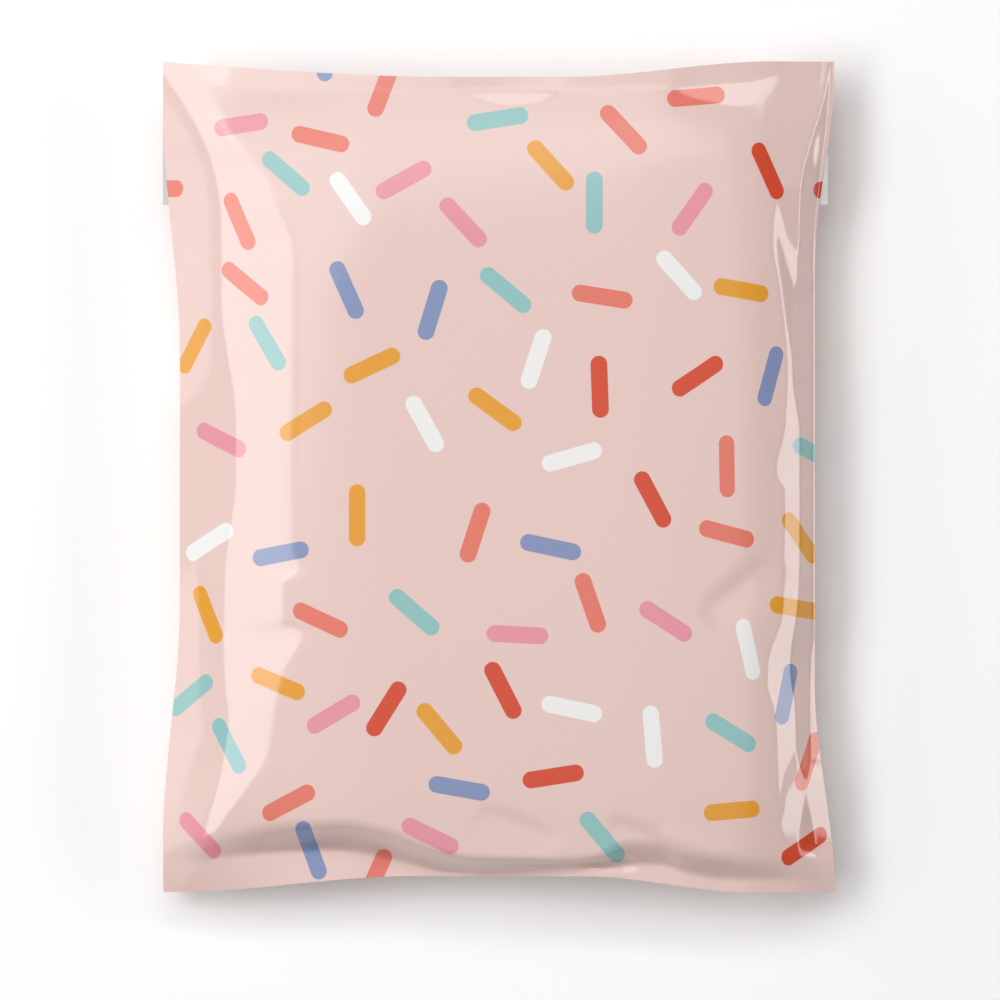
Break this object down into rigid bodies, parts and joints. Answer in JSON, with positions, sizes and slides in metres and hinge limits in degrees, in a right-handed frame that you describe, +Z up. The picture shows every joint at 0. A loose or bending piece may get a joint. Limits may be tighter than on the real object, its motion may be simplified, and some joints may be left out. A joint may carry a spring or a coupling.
{
  "type": "poly mailer bag",
  "caption": "Sealed, filled plastic mailing bag lying on its back, with welded sides, a folded bottom and a glued flap folded over to the back.",
  "frame": {"origin": "on the floor, under the middle of the bag", "axes": "+X across the bag, +Y from the bottom fold to the top fold, +Z up out of the printed front"},
  "size_m": [0.254, 0.314, 0.04],
  "materials": {
    "printed_film": "glossy printed polyethylene film, pale pink with short round-ended dashes in red, coral, orange, pink, teal, blue and white"
  },
  "bodies": {
    "root": {"mailer_bag": "printed_film"}
  },
  "joints": []
}
